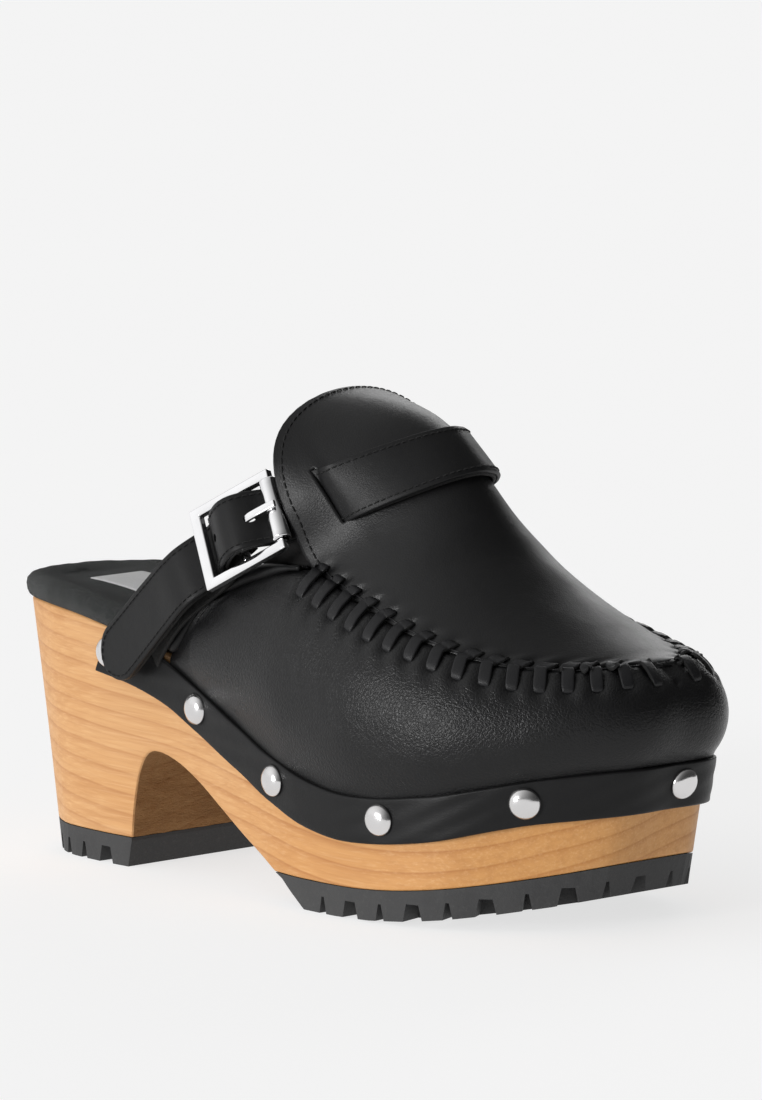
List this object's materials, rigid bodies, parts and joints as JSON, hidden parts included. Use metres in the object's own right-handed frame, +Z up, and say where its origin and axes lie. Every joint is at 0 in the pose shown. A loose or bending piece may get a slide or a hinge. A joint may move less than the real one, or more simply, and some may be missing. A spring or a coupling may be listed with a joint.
{
  "type": "clog",
  "caption": "Platform clog with a block-heeled wooden sole, a nailed leather upper with a laced toe seam, and an instep strap with a roller buckle.",
  "frame": {"origin": "on the ground, under the middle of the overall box", "axes": "+X towards the toe, +Y towards the inner side of the foot, +Z up; a right shoe"},
  "size_m": [0.2556, 0.1054, 0.1485],
  "materials": {
    "wood": "oiled, satin",
    "rubber": "matte",
    "leather": "soft sheen",
    "lining": "matte",
    "lace": "soft sheen",
    "suede": "napped suede",
    "foam": "matte",
    "stiffener": "matte",
    "label": "woven, matte",
    "steel": "satin",
    "chrome": "polished"
  },
  "bodies": {
    "shoe": {"wooden_sole": "wood", "forefoot_outsole": "rubber", "heel_toplift": "rubber", "outsole_nails": "steel", "toplift_nails": "steel", "footbed_foam": "foam", "suede_sock": "suede", "sock_label": "label", "vamp": "leather", "vamp_lining": "lining", "toe_puff": "stiffener", "topline_roll": "leather", "apron_tongue": "leather", "apron_lining": "lining", "moc_lacing": "lace", "rand_band": "leather", "dome_studs": "steel", "lasting_tacks": "steel", "instep_strap": "leather", "strap_lining": "lining", "buckle_chape": "leather"},
    "buckle": {"buckle_frame": "chrome"},
    "roller": {"buckle_roller": "chrome"},
    "prong": {"buckle_prong": "chrome"}
  },
  "joints": [
    {"name": "buckle_tilt", "type": "hinge", "parent": "shoe", "child": "buckle", "pos_m": [-0.00533, -0.04109, 0.1086], "axis": [0.5443, -0.2184, -0.8099], "range_deg": [-2.5, 2.5]},
    {"name": "roller_spin", "type": "hinge", "parent": "buckle", "child": "roller", "pos_m": [0.00608, -0.03752, 0.1153], "axis": [0.5443, -0.2184, -0.8099], "continuous": true},
    {"name": "prong_lift", "type": "hinge", "parent": "buckle", "child": "prong", "pos_m": [-0.00533, -0.04109, 0.1086], "axis": [0.5443, -0.2184, -0.8099], "range_deg": [0, 25]}
  ]
}
